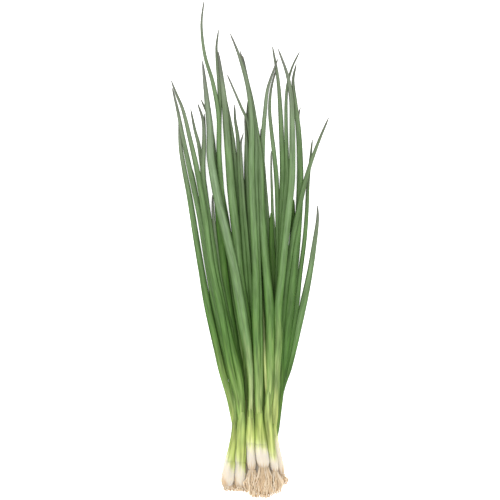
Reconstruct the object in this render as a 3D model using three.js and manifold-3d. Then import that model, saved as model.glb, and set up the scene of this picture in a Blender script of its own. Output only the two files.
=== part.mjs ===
// A loose bunch of chive-like young onions, lying flat: eleven rooted plants whose hollow leaves fan out
// and cross. Millimetres, +Z up, leaf tips towards +Y, origin on the surface under the middle of the bunch.
import * as THREE from "three";
import { mergeVertices } from "three/addons/utils/BufferGeometryUtils.js";
import Module from "manifold-3d";

// Driving dimensions of the leaves
const LEAF_FLATNESS = 0.62; // thickness of a leaf over its width
const TIP_TAPER = 0.19; // of a leaf's free length, over which it narrows to its point
const TIP_WIDTH = 1;
const NECK_WIDTH_SHARE = 0.88; // width of a leaf where it leaves the sheath
const NECK_WIDENING = 70; // length over which it reaches its full width
const ROLLED_SHARE = 0.55; // width of a leaf's lower end, rolled up in the sheath
const LEAF_IN_SHEATH = 30; // length of a leaf that is rolled up in the sheath
const LEAF_LEAVES_MIDDLE = 16; // below the sheath's top by this much, a leaf follows the sheath's own route
const LEAF_PARTING = 140; // above the sheath by this much, the leaves of one plant lie clear of each other

// Driving dimensions of the bulbs and sheaths
const STALK_FLATNESS = 0.92; // thickness of a bulb or sheath over its width
const BULB_OUTLINE = [[0.74, 0], [0.96, 4], [1, 9], [0.92, 18]]; // [share of its width, height]
const SHEATH_SWELLING = 1.12; // of the sheath's width, where the bulb goes over into it
const SWELLING_END = 30;
const SHEATH_START = 45; // from this height the sheath has its own width
const SHEATH_CLOSING = 26; // length over which the sheath's top closes round the leaves
const CLOSED_SHARE = 0.6;

// Driving dimensions of the roots
const ROOT_COUNT = 15;
const ROOT_RADIUS = 0.55;
const ROOT_TAPER = 0.65; // radius of a root's end over its radius at the plate
const ROOT_BELLY = 5.4; // half width of a root bundle halfway down
const ROOT_SPREAD = 4.4; // and at its far end
const ROOT_BUNDLE_HALF_HEIGHT = 2.4;
const ROOT_PLATE = 2.6; // thickness of the disc that the roots grow from
const ROOT_PLATE_SHARE = 0.62; // of the bulb's width
const ROOT_FILL = 0.8; // how far out in the bundle the outermost roots run
const ROOT_UNEVENNESS = 0.3; // how much shorter the shortest root is
const ROOT_WAVE = 0.2;
const GOLDEN_SHARE = (Math.sqrt(5) - 1) / 2;
const GOLDEN_ANGLE = 2 * Math.PI * (1 - GOLDEN_SHARE);

// How the plants lie on each other
const GAP = 0.45; // clearance kept between neighbouring plants
const SEAM = 0.3; // gap between the pieces of one plant
const STEEPEST = 0.14; // slope of a leaf that climbs over its neighbours
const SAG = 0.5; // how far a leaf drops below the straight line between its neighbouring stations
const BRIDGING_ROUNDS = 8;
const FINE_STEP = 2; // spacing of the tests for clearance
const EARLY_PARTING = 4; // leaves of one plant start to give way to each other this much sooner

// Fineness of the solids
const STATION_STEP = 22; // spacing of the rings along a leaf
const LEAF_SIDES = 6;
const STALK_SIDES = 8;
const ROOT_SIDES = 3;
const ROOT_STEPS = 3;

// The plants in the order in which they were laid down. A stalk's route runs from the root plate to the
// sheath's top, a leaf's from the sheath to its tip, both as [x, y]. roots is the end of the root bundle,
// white the length of the white part, top the y of the sheath's top, neck the NECK_WIDTH_SHARE of a leaf.
const PLANTS = [
  {
    bulb: 8, sheath: 6, white: 24, top: -158, roots: [23, -217],
    stalk: [[25, -203], [22.4, -180], [21, -160]],
    leaves: [
      { width: 6.4, route: [[24.5, -143], [29.3, -122], [34.5, -107], [43, -72], [49.2, -44.5],
        [54.4, -18.6], [58, 4.4], [61, 27], [61, 40]] },
      { width: 4.5, route: [[25.5, -140], [33.6, -100], [40.8, -59], [45, -24], [49.2, 8], [51.3, 35],
        [52.5, 60], [54.9, 86], [56.4, 99.5]] },
      { width: 5.5, route: [[26.5, -120], [31.5, -75], [35.5, -30], [38.3, 10], [39.4, 45]] },
      { width: 4, route: [[28, -122], [37, -60], [42, -15], [46.6, 50], [46.2, 76], [44, 120],
        [45.6, 128.6]] },
      { width: 7, route: [[28, -120], [34.5, -65], [40, -10], [43.5, 25], [45, 55], [45.1, 80],
        [43.9, 105], [41.2, 130], [39, 153], [41.9, 168]] },
      { width: 5.5, route: [[27, -118], [27.5, -90], [31.1, -41], [38.3, 10], [44.6, 39], [51.9, 69],
        [60.9, 95], [71, 119]] },
    ],
  },
  {
    bulb: 8, sheath: 6, white: 24, top: -128, roots: [-2, -220],
    stalk: [[-4.5, -206], [-4, -175], [-4, -125]],
    leaves: [
      { width: 5.5, route: [[-3, -122], [-15, -50], [-29, 40], [-33, 95], [-36.9, 118], [-44.5, 136]] },
      { width: 5.5, route: [[-3, -122], [-8, -70], [-14, -20], [-21, 25], [-25.6, 52], [-27.8, 80],
        [-27.9, 110], [-27.4, 139], [-30.3, 181], [-28.4, 198.7]] },
      { width: 5, route: [[-4.6, -122], [-9, -84], [-16, -46], [-22.8, 9], [-25.6, 53], [-28, 90],
        [-28.3, 120], [-33.7, 151], [-40.7, 175], [-43.8, 202], [-41.8, 224]] },
      { width: 6.5, route: [[-4, -120], [-3.5, -60], [-3, 0], [-2.6, 45], [-3, 90], [-2, 134]] },
    ],
  },
  {
    bulb: 8, sheath: 6, white: 24, top: -138, roots: [15.5, -224],
    stalk: [[15.5, -205], [14, -175], [13.2, -150], [14.5, -135]],
    leaves: [
      { width: 6, route: [[13.2, -118], [15, -81], [16.5, -36], [16.8, 5], [15, 35], [13.6, 58],
        [12.6, 82]] },
      { width: 3.5, route: [[18, -120], [24, -60], [24, -13], [20.4, 33], [19.8, 52], [19.2, 70],
        [19, 89]] },
      { width: 5, route: [[16, -120], [19.5, -70], [20.6, -20], [19.4, 10], [19, 33]] },
      { width: 5, route: [[17, -120], [22, -80], [24, -40], [25.4, 0], [24.7, 45], [23.6, 67],
        [21.4, 89.5], [19.3, 107.5], [17.8, 125.5], [18.9, 143.5], [23.5, 163]] },
      { width: 6, route: [[19, -120], [25, -80], [27, -30], [28, 10], [29.4, 69], [28, 112],
        [25.4, 152], [20.3, 183.5]] },
    ],
  },
  {
    bulb: 8, sheath: 6, white: 24, top: -130, roots: [5.5, -224],
    stalk: [[5.5, -207], [5, -170], [5, -125]],
    leaves: [
      { width: 5.5, route: [[7.5, -120], [11, -80], [12.5, -36], [10.4, 44.5], [9.9, 109]] },
      { width: 5, route: [[3, -118], [-2.7, -81.5], [-5, -36.5], [-10.4, 44.5], [-15.2, 98.5],
        [-21.6, 137]] },
      { width: 6, route: [[3, -122], [-1, -60], [-5, -5], [-8.2, 55], [-11.2, 102], [-13.5, 118],
        [-13.9, 131]] },
      { width: 5, route: [[6, -122], [3, -60], [0.5, 10], [-2, 60], [-3, 93], [-4.8, 120]] },
      { width: 4, route: [[7, -122], [-1, -10], [-5, 35], [-7.8, 80], [-8.2, 96], [-5.9, 105]] },
    ],
  },
  {
    bulb: 8, sheath: 6, white: 24, top: -140, roots: [-14, -218],
    stalk: [[-14.5, -208], [-12.5, -175], [-10.5, -148]],
    leaves: [
      { width: 4.5, route: [[-15, -125], [-23.3, -100], [-27.6, -81.5], [-35, -36.5], [-42, 8.5],
        [-48.7, 53.5], [-52, 72]] },
      { width: 4, route: [[-11, -120], [-18.5, -81.5], [-29, -36.5], [-37.6, 13], [-45, 58]] },
      { width: 4, route: [[-9.5, -120], [-22, -50], [-31.5, 0], [-40.6, 58], [-41.8, 90], [-40.9, 105],
        [-41.3, 122.6]] },
      { width: 5.5, route: [[-11, -120], [-24, -55], [-34.5, 5], [-40.6, 55], [-46.2, 94], [-50, 109],
        [-53.6, 127]] },
      { width: 6, route: [[-9, -120], [-15.5, -78], [-21.5, -38], [-25.5, 3], [-29.5, 42], [-31, 66]] },
    ],
  },
  {
    bulb: 11, sheath: 7, white: 22, top: -146, roots: [-21.5, -217.4],
    stalk: [[-20.7, -212], [-17.6, -190], [-13.6, -168], [-13.3, -150]],
    leaves: [
      { width: 6.2, route: [[-17.6, -136], [-25.2, -109], [-29.2, -91], [-37.7, -53], [-43.4, -21],
        [-48.2, 7.6], [-54.7, 48], [-59.2, 71], [-62.9, 94], [-64, 124]] },
      { width: 6, route: [[-14.5, -128], [-20, -100], [-29.3, -59], [-36.9, -21], [-45.4, 31],
        [-54.2, 71.5], [-60, 98.5], [-65.3, 125.5], [-70.3, 146]] },
    ],
  },
  {
    bulb: 9.3, sheath: 9, white: 21, top: -146, roots: [-9.5, -217.4],
    stalk: [[-9.3, -212], [-8, -180], [-7.4, -150]],
    leaves: [
      { width: 5, route: [[-8, -120], [-15.5, -84], [-23.5, -46], [-27.8, -21], [-33, 30], [-33.9, 49]] },
      { width: 6.5, route: [[-9, -120], [-18.9, -78], [-27.9, -36], [-35.2, 12.5], [-39.4, 42],
        [-42.1, 62], [-42.5, 76], [-41.6, 92], [-41.6, 108], [-43, 119], [-47.3, 132]] },
      { width: 6, route: [[-10.5, -136], [-15.5, -115], [-19.5, -95], [-25.5, -59], [-34.5, -14],
        [-40.6, 31], [-47.7, 71.5], [-53.8, 98.5], [-60.4, 125.5], [-67.7, 143.5], [-71.1, 152.6]] },
    ],
  },
  {
    bulb: 7.5, sheath: 5.5, white: 34, top: -148, roots: [26.5, -214],
    stalk: [[27.8, -201], [25, -188], [21.8, -167], [22, -150]],
    leaves: [
      { width: 4.5, route: [[23, -120], [25, -60], [27, -15], [31, 42], [33.4, 69], [32.5, 112],
        [33.2, 144], [37.5, 163], [44.9, 179]] },
      { width: 6.8, route: [[23.2, -120], [25.4, -78], [25.1, -53], [28.9, -18.6], [34.7, 36],
        [37.3, 60], [38, 80], [37.9, 117], [37.1, 137], [33.8, 157], [25.4, 181.4]] },
    ],
  },
  {
    bulb: 7, sheath: 6.6, white: 15, top: -126, roots: [23, -220],
    stalk: [[22.2, -198.5], [18.4, -172], [16.4, -150], [17, -128]],
    leaves: [
      { width: 5.5, route: [[18.5, -118], [18.5, -80], [16.5, -30], [11.8, 40], [11, 70], [11.6, 98],
        [13.6, 125.5], [16.2, 146], [25.1, 172]] },
      { width: 3.5, route: [[14.5, -118], [13.1, -91], [10.6, -53], [6.8, -8], [5, 20]] },
      { width: 7.5, route: [[18.2, -118], [18.2, -95], [17.6, -53], [14.3, -15], [10, 36], [9.2, 80],
        [5.2, 107.5], [1.2, 134.5], [-2.6, 152.5], [-6.5, 175]] },
    ],
  },
  {
    bulb: 8, sheath: 7, white: 23, top: -138, roots: [3, -222],
    stalk: [[1.8, -197], [0.8, -175], [0.5, -150]],
    leaves: [
      { width: 8.8, neck: 0.5, route: [[0.7, -118], [-3.2, -70], [-9.8, -21], [-12.3, 13],
        [-15, 37], [-17.3, 60], [-19.2, 86], [-21, 108], [-23.3, 136], [-28.6, 178.6]] },
      { width: 8.8, neck: 0.46, route: [[1, -120], [-1, -97], [-6.9, -60], [-13.5, -21],
        [-19.8, 7.6], [-28.6, 44.5], [-32.3, 63.5], [-35.6, 86], [-36, 108], [-38.4, 130],
        [-43, 170.6]] },
    ],
  },
  {
    bulb: 10.8, sheath: 7.8, white: 20, top: -136, roots: [13, -224],
    stalk: [[12.2, -194.5], [10, -175], [8.4, -150]],
    leaves: [
      { width: 4, route: [[8, -120], [6, 0], [4, 40], [-1.3, 112], [-8.2, 129], [-20.6, 158]] },
      { width: 5, route: [[9.5, -120], [9, -80], [8, -30], [5, 60], [5, 95], [0, 140], [-8.8, 179]] },
      { width: 6.5, route: [[7, -120], [6.5, -95], [5.5, -65], [5.1, -21], [1.4, 66], [1.4, 112],
        [-1.3, 142.7], [-10, 174.8], [-18, 195]] },
    ],
  },
];

const smooth = (t) => THREE.MathUtils.smoothstep(t, 0, 1);

// The value at y of the smooth curve through [value, y] points, and its slope at each of them.
function curveAt(points, y) {
  const slope = (i) => {
    const before = points[Math.max(i - 1, 0)];
    const after = points[Math.min(i + 1, points.length - 1)];
    return (after[0] - before[0]) / (after[1] - before[1]);
  };
  let i = 0;
  while (i < points.length - 2 && y > points[i + 1][1]) i++;
  const [x0, y0] = points[i];
  const [x1, y1] = points[i + 1];
  const h = y1 - y0;
  const t = THREE.MathUtils.clamp((y - y0) / h, 0, 1);
  const t2 = t * t;
  const t3 = t2 * t;
  return (2 * t3 - 3 * t2 + 1) * x0 + (t3 - 2 * t2 + t) * h * slope(i)
    + (3 * t2 - 2 * t3) * x1 + (t3 - t2) * h * slope(i + 1);
}

// A strand is a list of stations {y, x, a, b, z}: its middle, half width, half height and middle's height.
// Between two stations everything changes in a straight line.
function stationAt(strand, y) {
  let i = 0;
  while (i < strand.length - 2 && y > strand[i + 1].y) i++;
  const [from, to] = [strand[i], strand[i + 1]];
  const t = THREE.MathUtils.clamp((y - from.y) / (to.y - from.y), 0, 1);
  const between = { y };
  for (const key of ["x", "a", "b", "z"]) between[key] = from[key] + (to[key] - from[key]) * t;
  return between;
}

// The height at which an ellipse s just clears the top of ellipse o, or nothing where it passes beside it.
function heightOver(s, o, share) {
  const reach = s.a + o.a + GAP;
  const side = Math.abs(s.x - o.x) / reach;
  if (side >= 1) return 0;
  return o.z + share * (s.b + o.b + GAP) * Math.sqrt(1 - side * side);
}

// Lays a strand over the ones below it. floor(y) adds a lowest height of its own. sisters are strands of
// the same plant, which it only clears above the sheath's top, where the leaves have parted. flatShare is
// how far down the strand's section reaches, over its half height.
function lay(strand, below, sisters, top, floor, flatShare) {
  const needAt = (y) => {
    const s = stationAt(strand, y);
    let need = floor(y);
    for (const other of below) {
      if (y < other[0].y - GAP || y > other.at(-1).y + GAP) continue;
      need = Math.max(need, heightOver(s, stationAt(other, y), 1));
    }
    const parted = smooth((y - top) / LEAF_PARTING);
    for (const other of sisters) {
      if (parted === 0 || y > other.at(-1).y + GAP) continue;
      const over = heightOver(s, stationAt(other, y), parted);
      need = Math.max(need, over * Math.min(1, EARLY_PARTING * parted));
    }
    return need;
  };
  for (const station of strand) station.z = 0;
  const last = strand.length - 1;
  const highest = strand.map((station, i) => {
    const from = strand[Math.max(i - 1, 0)].y;
    const to = strand[Math.min(i + 1, last)].y;
    let need = Math.max(station.b * flatShare, needAt(station.y));
    for (let y = from; y <= to; y += FINE_STEP) need = Math.max(need, needAt(y));
    return need;
  });
  const climbing = highest.map((_, i) => Math.max(...highest.map(
    (need, k) => need - STEEPEST * Math.abs(strand[i].y - strand[k].y))));
  const heights = [...climbing];
  for (let round = 0; round < BRIDGING_ROUNDS; round++) {
    for (let i = 1; i < last; i++) {
      heights[i] = Math.max(heights[i], (heights[i - 1] + heights[i + 1]) / 2 - SAG);
    }
  }
  strand.forEach((station, i) => {
    station.z = heights[i];
  });
}

const HEXAGON_FLAT = Math.sqrt(3) / 2; // from the middle to a flat side, for a unit hexagon
const OCTAGON_FLAT = Math.cos(Math.PI / 8);

// The half width and half height of a stalk at distance d from its root plate, roots at negative d.
function stalkHalves(plant, d, rootLength) {
  const bulb = plant.bulb / 2;
  const sheath = plant.sheath / 2;
  const outline = [
    [ROOT_SPREAD, -rootLength],
    [ROOT_BELLY, -rootLength / 2],
    [ROOT_PLATE_SHARE * bulb, -ROOT_PLATE],
    ...BULB_OUTLINE.map(([share, height]) => [share * bulb, height]),
    [Math.min(bulb, SHEATH_SWELLING * sheath), SWELLING_END],
    [sheath, SHEATH_START],
  ];
  let i = 0;
  while (i < outline.length - 2 && d > outline[i + 1][1]) i++;
  const [from, to] = [outline[i], outline[i + 1]];
  const t = THREE.MathUtils.clamp((d - from[1]) / (to[1] - from[1]), 0, 1);
  const a = THREE.MathUtils.lerp(from[0], to[0], t);
  const flattened = THREE.MathUtils.clamp(-d / rootLength, 0, 1);
  return [a, THREE.MathUtils.lerp(a * STALK_FLATNESS, ROOT_BUNDLE_HALF_HEIGHT, flattened)];
}

// The stalk with its root bundle, as one strand from the root tips to the sheath's top.
function stalkStrand(plant) {
  const baseY = plant.stalk[0][1];
  const rootLength = baseY - plant.roots[1];
  const route = [plant.roots, ...plant.stalk];
  const heights = BULB_OUTLINE.map(([, height]) => height);
  const distances = [-rootLength, -rootLength / 2, -ROOT_PLATE, ...heights, SWELLING_END,
    plant.white, plant.white + SEAM];
  const ys = distances.map((d) => baseY + d);
  ys.push(plant.top - LEAF_LEAVES_MIDDLE, plant.top - SHEATH_CLOSING, plant.top);
  if (baseY + SHEATH_START < plant.top - LEAF_LEAVES_MIDDLE) ys.push(baseY + SHEATH_START);
  ys.sort((p, q) => p - q);
  return ys.map((y) => {
    const [a, b] = stalkHalves(plant, y - baseY, rootLength);
    const closing = THREE.MathUtils.lerp(1, CLOSED_SHARE, smooth((y - plant.top) / SHEATH_CLOSING + 1));
    return { y, x: curveAt(route, y), a: a * closing, b: b * closing, z: 0 };
  });
}

// Where the leaves of a plant begin: rolled up in the sheath, above the white part.
const leafRootY = (plant) =>
  Math.max(plant.top - LEAF_IN_SHEATH, plant.stalk[0][1] + plant.white + 2 * SEAM);

// One leaf as a strand from inside the sheath to its tip. Its halves are those of the upright section
// across the bunch, which is wider where the leaf slants.
function leafStrand(plant, leaf) {
  const rootY = leafRootY(plant);
  const inSheath = [rootY, plant.top - LEAF_LEAVES_MIDDLE].map((y) => [curveAt(plant.stalk, y), y]);
  const route = [...inSheath, ...leaf.route];
  const tipY = route.at(-1)[1];
  const count = Math.round((tipY - rootY) / STATION_STEP);
  return Array.from({ length: count + 1 }, (_, i) => {
    const y = THREE.MathUtils.lerp(rootY, tipY, i / count);
    const slant = (curveAt(route, y + 1) - curveAt(route, y - 1)) / 2;
    const widened = smooth((y - plant.top) / NECK_WIDENING);
    const rolled = THREE.MathUtils.lerp(ROLLED_SHARE, 1, smooth((y - rootY) / (plant.top - rootY)));
    const neck = rolled * THREE.MathUtils.lerp(leaf.neck ?? NECK_WIDTH_SHARE, 1, widened);
    const taper = 1 - Math.exp((y - tipY) / (TIP_TAPER * (tipY - plant.top)));
    const width = TIP_WIDTH + (leaf.width * neck - TIP_WIDTH) * taper;
    const halfWidth = width / 2;
    return { y, x: curveAt(route, y), a: halfWidth * Math.hypot(1, slant), b: halfWidth * LEAF_FLATNESS,
      z: 0 };
  });
}

// Lays down all plants in turn and gives each its stalk and leaf strands.
function layBunch() {
  const laid = [];
  return PLANTS.map((plant) => {
    const stalk = stalkStrand(plant);
    const leaves = plant.leaves.map((leaf) => leafStrand(plant, leaf));
    const layLeaves = (floor) => leaves.forEach(
      (leaf, i) => lay(leaf, laid, leaves.slice(0, i), plant.top, floor, HEXAGON_FLAT));
    layLeaves(() => 0);
    const rootY = leafRootY(plant);
    const highestLeaf = (y) => (y < rootY ? 0 : Math.max(...leaves.map((l) => stationAt(l, y).z)));
    lay(stalk, laid, [], plant.top, highestLeaf, OCTAGON_FLAT);
    layLeaves((y) => (y > plant.top ? 0 : stationAt(stalk, y).z));
    laid.push(stalk, ...leaves);
    const baseY = plant.stalk[0][1];
    return { stalk, leaves, baseY, whiteY: baseY + plant.white, topY: plant.top, farY: plant.roots[1] };
  });
}

const wasm = await Module();
wasm.setup();

// A closed tube through a list of stations, as a solid. turn sets where the first corner lies.
function tube(stations, sides, turn) {
  const rings = stations.length - 1;
  const geometry = new THREE.CylinderGeometry(1, 1, 1, sides, rings, false, turn);
  geometry.deleteAttribute("normal");
  geometry.deleteAttribute("uv");
  const merged = mergeVertices(geometry, 1e-4);
  const position = merged.getAttribute("position");
  for (let i = 0; i < position.count; i++) {
    const { y, x, a, b, z } = stations[Math.round((position.getY(i) + 0.5) * rings)];
    position.setXYZ(i, x + a * position.getX(i), y, Math.max(0, z + b * position.getZ(i)));
  }
  const mesh = new wasm.Mesh({
    numProp: 3,
    vertProperties: position.array,
    triVerts: new Uint32Array(merged.index.array),
  });
  return new wasm.Manifold(mesh);
}

// The stations of a strand between two values of y, with one at each end.
function cutOut(strand, from, to) {
  const inner = strand.filter((station) => station.y > from + SEAM / 2 && station.y < to - SEAM / 2);
  return [stationAt(strand, from), ...inner, stationAt(strand, to)];
}

// Joins solids and keeps the one body that holds them together, filled.
function joined(solids) {
  const whole = wasm.Manifold.union(solids);
  return whole.decompose().reduce((best, body) => (body.volume() > best.volume() ? body : best));
}

const stalkTube = (strand, from, to) =>
  tube(cutOut(strand, from, to), STALK_SIDES, Math.PI / STALK_SIDES);

// One wavy root, from its end to inside the root plate. number sets its place in the bundle.
function rootTube({ stalk, baseY, farY }, number) {
  const angle = number * GOLDEN_ANGLE;
  const out = ROOT_FILL * Math.sqrt((number + 0.5) / ROOT_COUNT);
  const shortening = ROOT_UNEVENNESS * (1 - Math.sqrt((number * GOLDEN_SHARE) % 1));
  const endY = THREE.MathUtils.lerp(farY, baseY, shortening);
  const startY = baseY - ROOT_PLATE / 2;
  const stations = Array.from({ length: ROOT_STEPS + 1 }, (_, k) => {
    const along = k / ROOT_STEPS;
    const y = THREE.MathUtils.lerp(endY, startY, along);
    const { x, a, b, z } = stationAt(stalk, y);
    const wave = ROOT_WAVE * Math.sin(angle + k * Math.PI * GOLDEN_SHARE);
    const radius = ROOT_RADIUS * THREE.MathUtils.lerp(ROOT_TAPER, 1, along);
    return {
      y, a: radius, b: radius,
      x: x + (a - radius) * (out * Math.cos(angle) + wave),
      z: Math.max(radius, z + (b - radius) * out * Math.sin(angle)),
    };
  });
  return tube(stations, ROOT_SIDES, 0);
}

// The root plate with its roots.
function rootsSolid(plant) {
  const plate = stalkTube(plant.stalk, plant.baseY - ROOT_PLATE, plant.baseY - SEAM);
  const roots = Array.from({ length: ROOT_COUNT }, (_, number) => rootTube(plant, number));
  return joined([plate, ...roots]);
}

function bulbSolid({ stalk, baseY, whiteY }) {
  return stalkTube(stalk, baseY, whiteY);
}

// The sheath and all leaves that come out of it.
function leavesSolid({ stalk, leaves, whiteY, topY }) {
  const sheath = stalkTube(stalk, whiteY + SEAM, topY);
  return joined([sheath, ...leaves.map((leaf) => tube(leaf, LEAF_SIDES, Math.PI / 2))]);
}

const rootTan = new THREE.MeshStandardMaterial({ color: 0xcfb388, roughness: 0.9 });
const bulbWhite = new THREE.MeshStandardMaterial({ color: 0xf2ead2, roughness: 0.45 });
const leafGreen = new THREE.MeshStandardMaterial({ color: 0x6a8a4b, roughness: 0.55 });

function meshOf(name, solid, material) {
  const made = solid.getMesh();
  const geometry = new THREE.BufferGeometry();
  geometry.setAttribute("position", new THREE.BufferAttribute(made.vertProperties, 3));
  geometry.setIndex(new THREE.BufferAttribute(made.triVerts, 1));
  geometry.computeVertexNormals();
  const mesh = new THREE.Mesh(geometry, material);
  mesh.name = name;
  return mesh;
}

const bunch = new THREE.Group();
layBunch().forEach((plant, i) => {
  const name = "plant_" + String(i + 1).padStart(2, "0");
  bunch.add(meshOf(name + "_roots", rootsSolid(plant), rootTan));
  bunch.add(meshOf(name + "_bulb", bulbSolid(plant), bulbWhite));
  bunch.add(meshOf(name + "_leaves", leavesSolid(plant), leafGreen));
});

export default bunch;
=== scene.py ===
# Looks of a loose bunch of chive-like young onions, lying flat: white bulbs, tan roots and long hollow leaves
# that fan out and cross. The driving dimensions and the table of plants are in millimetres, the meshes, the
# camera and the lights in metres. Leaf tips point towards +Y, and the bunch lies on z = 0.
import math

import bpy
import numpy as np
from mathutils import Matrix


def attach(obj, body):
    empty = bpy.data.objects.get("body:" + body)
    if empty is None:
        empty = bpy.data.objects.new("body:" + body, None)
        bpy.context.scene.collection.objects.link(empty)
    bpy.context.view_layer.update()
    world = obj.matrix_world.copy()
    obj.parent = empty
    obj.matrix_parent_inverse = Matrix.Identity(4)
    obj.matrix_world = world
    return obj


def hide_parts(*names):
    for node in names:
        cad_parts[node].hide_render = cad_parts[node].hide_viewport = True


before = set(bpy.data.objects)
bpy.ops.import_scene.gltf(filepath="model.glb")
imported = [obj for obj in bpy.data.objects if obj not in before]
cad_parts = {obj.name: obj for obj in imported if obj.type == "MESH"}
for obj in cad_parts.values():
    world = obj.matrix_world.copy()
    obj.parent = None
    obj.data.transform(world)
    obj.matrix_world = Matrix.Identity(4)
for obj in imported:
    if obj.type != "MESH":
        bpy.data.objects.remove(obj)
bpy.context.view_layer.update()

MM = 0.001

# Driving dimensions of the leaves
LEAF_FLATNESS = 0.62  # thickness of a leaf over its width
TIP_TAPER = 0.19  # of a leaf's free length, over which it narrows to its point
TIP_WIDTH = 1
NECK_WIDTH_SHARE = 0.88  # width of a leaf where it leaves the sheath
NECK_WIDENING = 70  # length over which it reaches its full width
ROLLED_SHARE = 0.55  # width of a leaf's lower end, rolled up in the sheath
LEAF_IN_SHEATH = 30  # length of a leaf that is rolled up in the sheath
LEAF_LEAVES_MIDDLE = 16  # below the sheath's top by this much, a leaf follows the sheath's own route
LEAF_PARTING = 140  # above the sheath by this much, the leaves of one plant lie clear of each other

# Driving dimensions of the bulbs and sheaths
STALK_FLATNESS = 0.92  # thickness of a bulb or sheath over its width
BULB_OUTLINE = [[0.74, 0], [0.96, 4], [1, 9], [0.92, 18]]  # [share of its width, height]
SHEATH_SWELLING = 1.12  # of the sheath's width, where the bulb goes over into it
SWELLING_END = 30
SHEATH_START = 45  # from this height the sheath has its own width
SHEATH_CLOSING = 26  # length over which the sheath's top closes round the leaves
CLOSED_SHARE = 0.6

# Driving dimensions of the root bundles
ROOT_BELLY = 5.4  # half width of a root bundle halfway down
ROOT_SPREAD = 4.4  # and at its far end
ROOT_BUNDLE_HALF_HEIGHT = 2.4
ROOT_PLATE = 2.6  # thickness of the disc that the roots grow from
ROOT_PLATE_SHARE = 0.62  # of the bulb's width

# How the plants lie on each other
GAP = 0.45  # clearance kept between neighbouring plants
SEAM = 0.3  # gap between the pieces of one plant
STEEPEST = 0.14  # slope of a leaf that climbs over its neighbours
SAG = 0.5  # how far a leaf drops below the straight line between its neighbouring stations
BRIDGING_ROUNDS = 8
FINE_STEP = 2  # spacing of the tests for clearance
EARLY_PARTING = 4  # leaves of one plant start to give way to each other this much sooner
STATION_STEP = 22  # spacing of the stations along a leaf at which its height is worked out
HEXAGON_FLAT = math.sqrt(3) / 2  # how far down a solid leaf's six-sided section reaches
OCTAGON_FLAT = math.cos(math.pi / 8)  # and a solid stalk's eight-sided one

# Steps and sides of the finer meshes
LEAF_STEP = 2.5
STALK_STEP = 1.5
LEAF_MESH_SIDES = 14
STALK_MESH_SIDES = 28
ROOT_MESH_SIDES = 5
ROOT_MESH_STEPS = 18

# How the skins of stalks and leaves differ from their plain solids
PRESSED_WIDENING = 0.11  # of a strand's width, where its neighbours press on it
PRESSED_UP_TO = -45  # the y where the pressing begins to fade
PRESSED_FADING = 30
YOUNG_FULLNESS = 1.4  # width of a young leaf, squeezed flat under the others, over that of its solid
TIP_FULLNESS = 0.3  # how much fuller a leaf's tip is than its solid
TIP_FULL_LENGTH = 18
POINT_LENGTH = 3  # the last stretch of a leaf, which closes to a blunt point
POINT_SHARE = 0.5
CREASE_DEPTHS = (0.04, 0.2)  # of the half section, for the shallowest and the deepest crease
CREASE_OFF_MIDDLE = 0.5  # the angle by which a crease may lie beside the middle of the upper side
CREASE_WANDERS = (0.1, 0.3)  # the angle by which a crease then wanders to and fro
CREASE_WAVE = 60  # length along the leaf for each radian of that
CREASE_ANGLE = 0.45  # half the width of a crease, as an angle

# The single roots
ROOTS_PER_PLANT = 80
ROOT_RADII = (0.38, 0.68)
ROOT_THINNING = 0.4
ROOT_WAVES = (0.4, 1.3)  # how far a root swings out sideways
ROOT_PACES = (0.25, 0.55)  # how fast it does so, in radians for each millimetre
ROOT_KINK = 0.25
UPRIGHT_WAVE_SHARE, UPRIGHT_PACE_SHARE = 0.5, 1.3
MIDDLE_ENDS = 0.15  # the far share of the bundle in which the roots in its middle end
OUTER_ENDS = 0.45  # what is added to that share for the outermost roots
BUNDLE_FULLNESS = 0.45  # how much wider than the solid the bundle is at its belly
BELLY_PLACE_POWER = 0.6
FULL_BUNDLE_LENGTH = 12  # shorter bundles are narrower as well
PLATE_ROUNDING = np.array([0.4, 0.8, 0.95, 1, 0.95])  # of a root plate, from its lower side up

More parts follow.
